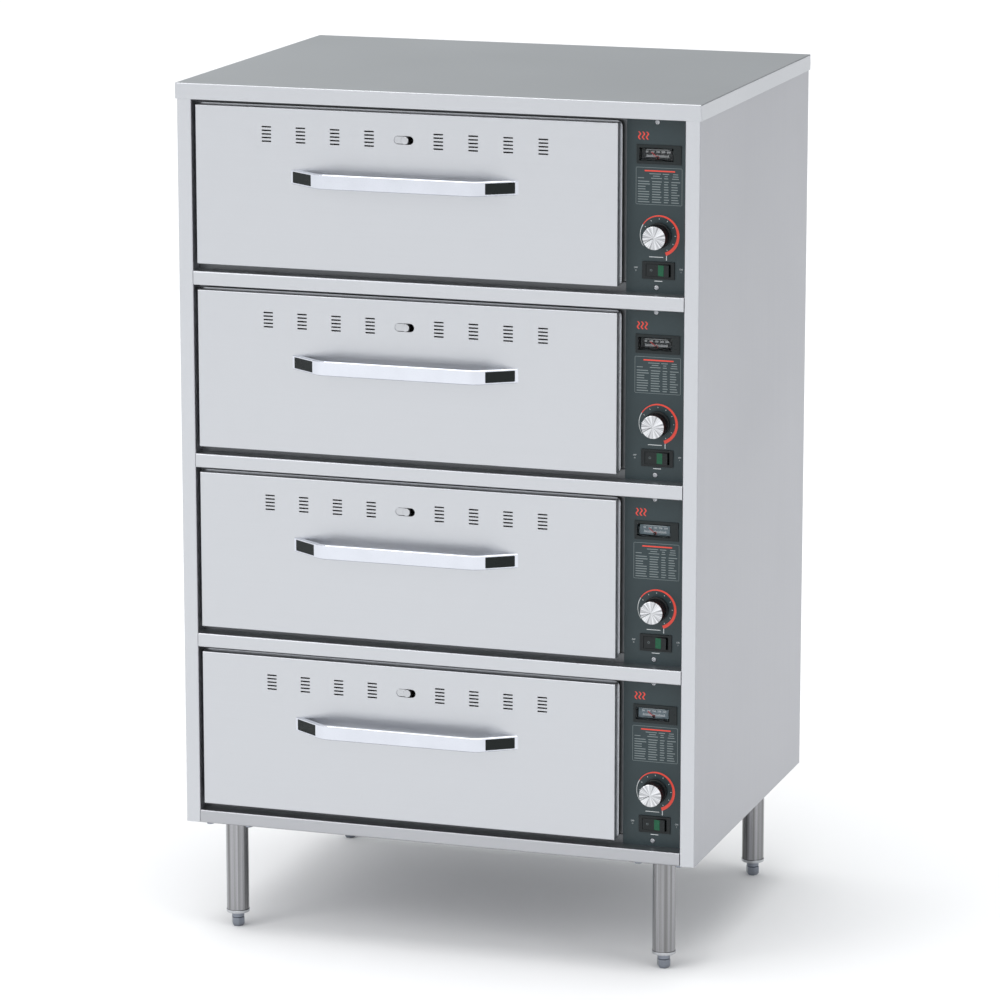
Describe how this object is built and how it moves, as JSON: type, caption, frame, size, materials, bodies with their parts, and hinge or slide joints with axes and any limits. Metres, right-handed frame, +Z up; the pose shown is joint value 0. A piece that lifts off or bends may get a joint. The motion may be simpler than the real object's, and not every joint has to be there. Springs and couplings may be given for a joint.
{
  "type": "warming drawer cabinet",
  "caption": "Free-standing stainless food warmer on legs, with heated pan drawers one above the other and a gauge, knob and switch beside each drawer.",
  "frame": {"origin": "middle of the bottom face of the bounding box, on the floor", "axes": "+Z is up; the drawers open towards -Y; the controls are on the +X side"},
  "size_m": [0.749, 0.6086, 1.2122],
  "materials": {
    "stainless": "brushed",
    "stainless_inner": "mill finish",
    "chrome": "polished",
    "control_panel": "satin",
    "gauge_case": "satin",
    "gauge_window": "clear",
    "gauge_pointer": "satin",
    "knob": "satin",
    "switch": "gloss",
    "rocker": "gloss",
    "roller": "satin",
    "element": "heat darkened",
    "thermostat": "satin",
    "zinc_screw": "zinc plated",
    "cord_gland": "satin",
    "foot": "turned"
  },
  "bodies": {
    "cabinet": {"top_cover": "stainless", "side_panels": "stainless", "back_panel": "stainless_inner", "base_panel": "stainless", "front_rails": "stainless", "legs": "stainless", "cavity_liners": "stainless_inner", "control_panels": "control_panel", "cabinet_slides": "stainless_inner", "heating_elements": "element", "thermostat_bodies": "thermostat", "switch_housings": "switch", "gauge_cases": "gauge_case", "gauge_lenses": "gauge_window", "fasteners": "zinc_screw", "cord_bushing": "cord_gland"},
    "drawer_1": {"drawer_front_1": "stainless", "drawer_frame_1": "stainless_inner", "drawer_handle_1": "chrome", "food_pan_1": "stainless_inner"},
    "vent_damper_1": {"vent_damper_1": "stainless"},
    "front_rollers_1": {"front_rollers_1": "roller"},
    "rear_rollers_1": {"rear_rollers_1": "roller"},
    "thermostat_knob_1": {"thermostat_knob_1": "knob"},
    "power_rocker_1": {"power_rocker_1": "rocker"},
    "gauge_pointer_1": {"gauge_pointer_1": "gauge_pointer"},
    "drawer_2": {"drawer_front_2": "stainless", "drawer_frame_2": "stainless_inner", "drawer_handle_2": "chrome", "food_pan_2": "stainless_inner"},
    "vent_damper_2": {"vent_damper_2": "stainless"},
    "front_rollers_2": {"front_rollers_2": "roller"},
    "rear_rollers_2": {"rear_rollers_2": "roller"},
    "thermostat_knob_2": {"thermostat_knob_2": "knob"},
    "power_rocker_2": {"power_rocker_2": "rocker"},
    "gauge_pointer_2": {"gauge_pointer_2": "gauge_pointer"},
    "drawer_3": {"drawer_front_3": "stainless", "drawer_frame_3": "stainless_inner", "drawer_handle_3": "chrome", "food_pan_3": "stainless_inner"},
    "vent_damper_3": {"vent_damper_3": "stainless"},
    "front_rollers_3": {"front_rollers_3": "roller"},
    "rear_rollers_3": {"rear_rollers_3": "roller"},
    "thermostat_knob_3": {"thermostat_knob_3": "knob"},
    "power_rocker_3": {"power_rocker_3": "rocker"},
    "gauge_pointer_3": {"gauge_pointer_3": "gauge_pointer"},
    "drawer_4": {"drawer_front_4": "stainless", "drawer_frame_4": "stainless_inner", "drawer_handle_4": "chrome", "food_pan_4": "stainless_inner"},
    "vent_damper_4": {"vent_damper_4": "stainless"},
    "front_rollers_4": {"front_rollers_4": "roller"},
    "rear_rollers_4": {"rear_rollers_4": "roller"},
    "thermostat_knob_4": {"thermostat_knob_4": "knob"},
    "power_rocker_4": {"power_rocker_4": "rocker"},
    "gauge_pointer_4": {"gauge_pointer_4": "gauge_pointer"},
    "levelling_foot_1": {"levelling_foot_1": "foot"},
    "levelling_foot_2": {"levelling_foot_2": "foot"},
    "levelling_foot_3": {"levelling_foot_3": "foot"},
    "levelling_foot_4": {"levelling_foot_4": "foot"}
  },
  "joints": [
    {"name": "drawer_slide_1", "type": "slide", "parent": "cabinet", "child": "drawer_1", "axis": [0, -1, 0], "range_m": [0, 0.405]},
    {"name": "front_roller_turn_1", "type": "hinge", "parent": "cabinet", "child": "front_rollers_1", "pos_m": [-0.0435, -0.2278, 1.1274], "axis": [1, 0, 0], "range_deg": [0, 2120]},
    {"name": "rear_roller_turn_1", "type": "hinge", "parent": "drawer_1", "child": "rear_rollers_1", "pos_m": [-0.0435, 0.2029, 1.1274], "axis": [1, 0, 0], "range_deg": [0, 2120]},
    {"name": "vent_slide_1", "type": "slide", "parent": "drawer_1", "child": "vent_damper_1", "axis": [1, 0, 0], "range_m": [-0.0097, 0.0062]},
    {"name": "thermostat_turn_1", "type": "hinge", "parent": "cabinet", "child": "thermostat_knob_1", "pos_m": [0.3097, -0.2478, 1.0309], "axis": [0, 1, 0], "range_deg": [0, 270]},
    {"name": "switch_tip_1", "type": "hinge", "parent": "cabinet", "child": "power_rocker_1", "pos_m": [0.3093, -0.2453, 0.9836], "axis": [0, 0, 1], "range_deg": [0, 12]},
    {"name": "gauge_swing_1", "type": "hinge", "parent": "cabinet", "child": "gauge_pointer_1", "pos_m": [0.30525, -0.2398, 1.1351], "axis": [0, 1, 0], "range_deg": [0, 100]},
    {"name": "drawer_slide_2", "type": "slide", "parent": "cabinet", "child": "drawer_2", "axis": [0, -1, 0], "range_m": [0, 0.405]},
    {"name": "front_roller_turn_2", "type": "hinge", "parent": "cabinet", "child": "front_rollers_2", "pos_m": [-0.0435, -0.2278, 0.8704], "axis": [1, 0, 0], "range_deg": [0, 2120]},
    {"name": "rear_roller_turn_2", "type": "hinge", "parent": "drawer_2", "child": "rear_rollers_2", "pos_m": [-0.0435, 0.2029, 0.8704], "axis": [1, 0, 0], "range_deg": [0, 2120]},
    {"name": "vent_slide_2", "type": "slide", "parent": "drawer_2", "child": "vent_damper_2", "axis": [1, 0, 0], "range_m": [-0.0097, 0.0062]},
    {"name": "thermostat_turn_2", "type": "hinge", "parent": "cabinet", "child": "thermostat_knob_2", "pos_m": [0.3097, -0.2478, 0.7739], "axis": [0, 1, 0], "range_deg": [0, 270]},
    {"name": "switch_tip_2", "type": "hinge", "parent": "cabinet", "child": "power_rocker_2", "pos_m": [0.3093, -0.2453, 0.7266], "axis": [0, 0, 1], "range_deg": [0, 12]},
    {"name": "gauge_swing_2", "type": "hinge", "parent": "cabinet", "child": "gauge_pointer_2", "pos_m": [0.30525, -0.2398, 0.8781], "axis": [0, 1, 0], "range_deg": [0, 100]},
    {"name": "drawer_slide_3", "type": "slide", "parent": "cabinet", "child": "drawer_3", "axis": [0, -1, 0], "range_m": [0, 0.405]},
    {"name": "front_roller_turn_3", "type": "hinge", "parent": "cabinet", "child": "front_rollers_3", "pos_m": [-0.0435, -0.2278, 0.6134], "axis": [1, 0, 0], "range_deg": [0, 2120]},
    {"name": "rear_roller_turn_3", "type": "hinge", "parent": "drawer_3", "child": "rear_rollers_3", "pos_m": [-0.0435, 0.2029, 0.6134], "axis": [1, 0, 0], "range_deg": [0, 2120]},
    {"name": "vent_slide_3", "type": "slide", "parent": "drawer_3", "child": "vent_damper_3", "axis": [1, 0, 0], "range_m": [-0.0097, 0.0062]},
    {"name": "thermostat_turn_3", "type": "hinge", "parent": "cabinet", "child": "thermostat_knob_3", "pos_m": [0.3097, -0.2478, 0.5169], "axis": [0, 1, 0], "range_deg": [0, 270]},
    {"name": "switch_tip_3", "type": "hinge", "parent": "cabinet", "child": "power_rocker_3", "pos_m": [0.3093, -0.2453, 0.4696], "axis": [0, 0, 1], "range_deg": [0, 12]},
    {"name": "gauge_swing_3", "type": "hinge", "parent": "cabinet", "child": "gauge_pointer_3", "pos_m": [0.30525, -0.2398, 0.6211], "axis": [0, 1, 0], "range_deg": [0, 100]},
    {"name": "drawer_slide_4", "type": "slide", "parent": "cabinet", "child": "drawer_4", "axis": [0, -1, 0], "range_m": [0, 0.405]},
    {"name": "front_roller_turn_4", "type": "hinge", "parent": "cabinet", "child": "front_rollers_4", "pos_m": [-0.0435, -0.2278, 0.3564], "axis": [1, 0, 0], "range_deg": [0, 2120]},
    {"name": "rear_roller_turn_4", "type": "hinge", "parent": "drawer_4", "child": "rear_rollers_4", "pos_m": [-0.0435, 0.2029, 0.3564], "axis": [1, 0, 0], "range_deg": [0, 2120]},
    {"name": "vent_slide_4", "type": "slide", "parent": "drawer_4", "child": "vent_damper_4", "axis": [1, 0, 0], "range_m": [-0.0097, 0.0062]},
    {"name": "thermostat_turn_4", "type": "hinge", "parent": "cabinet", "child": "thermostat_knob_4", "pos_m": [0.3097, -0.2478, 0.2599], "axis": [0, 1, 0], "range_deg": [0, 270]},
    {"name": "switch_tip_4", "type": "hinge", "parent": "cabinet", "child": "power_rocker_4", "pos_m": [0.3093, -0.2453, 0.2126], "axis": [0, 0, 1], "range_deg": [0, 12]},
    {"name": "gauge_swing_4", "type": "hinge", "parent": "cabinet", "child": "gauge_pointer_4", "pos_m": [0.30525, -0.2398, 0.3641], "axis": [0, 1, 0], "range_deg": [0, 100]},
    {"name": "foot_screw_1", "type": "slide", "parent": "cabinet", "child": "levelling_foot_1", "axis": [0, 0, -1], "range_m": [0, 0.025]},
    {"name": "foot_screw_2", "type": "slide", "parent": "cabinet", "child": "levelling_foot_2", "axis": [0, 0, -1], "range_m": [0, 0.025]},
    {"name": "foot_screw_3", "type": "slide", "parent": "cabinet", "child": "levelling_foot_3", "axis": [0, 0, -1], "range_m": [0, 0.025]},
    {"name": "foot_screw_4", "type": "slide", "parent": "cabinet", "child": "levelling_foot_4", "axis": [0, 0, -1], "range_m": [0, 0.025]}
  ],
  "couplings": [
    {"joint": "front_roller_turn_1", "follows": "drawer_slide_1", "rad_per_m": 90.909},
    {"joint": "rear_roller_turn_1", "follows": "drawer_slide_1", "rad_per_m": 90.909},
    {"joint": "front_roller_turn_2", "follows": "drawer_slide_2", "rad_per_m": 90.909},
    {"joint": "rear_roller_turn_2", "follows": "drawer_slide_2", "rad_per_m": 90.909},
    {"joint": "front_roller_turn_3", "follows": "drawer_slide_3", "rad_per_m": 90.909},
    {"joint": "rear_roller_turn_3", "follows": "drawer_slide_3", "rad_per_m": 90.909},
    {"joint": "front_roller_turn_4", "follows": "drawer_slide_4", "rad_per_m": 90.909},
    {"joint": "rear_roller_turn_4", "follows": "drawer_slide_4", "rad_per_m": 90.909}
  ]
}
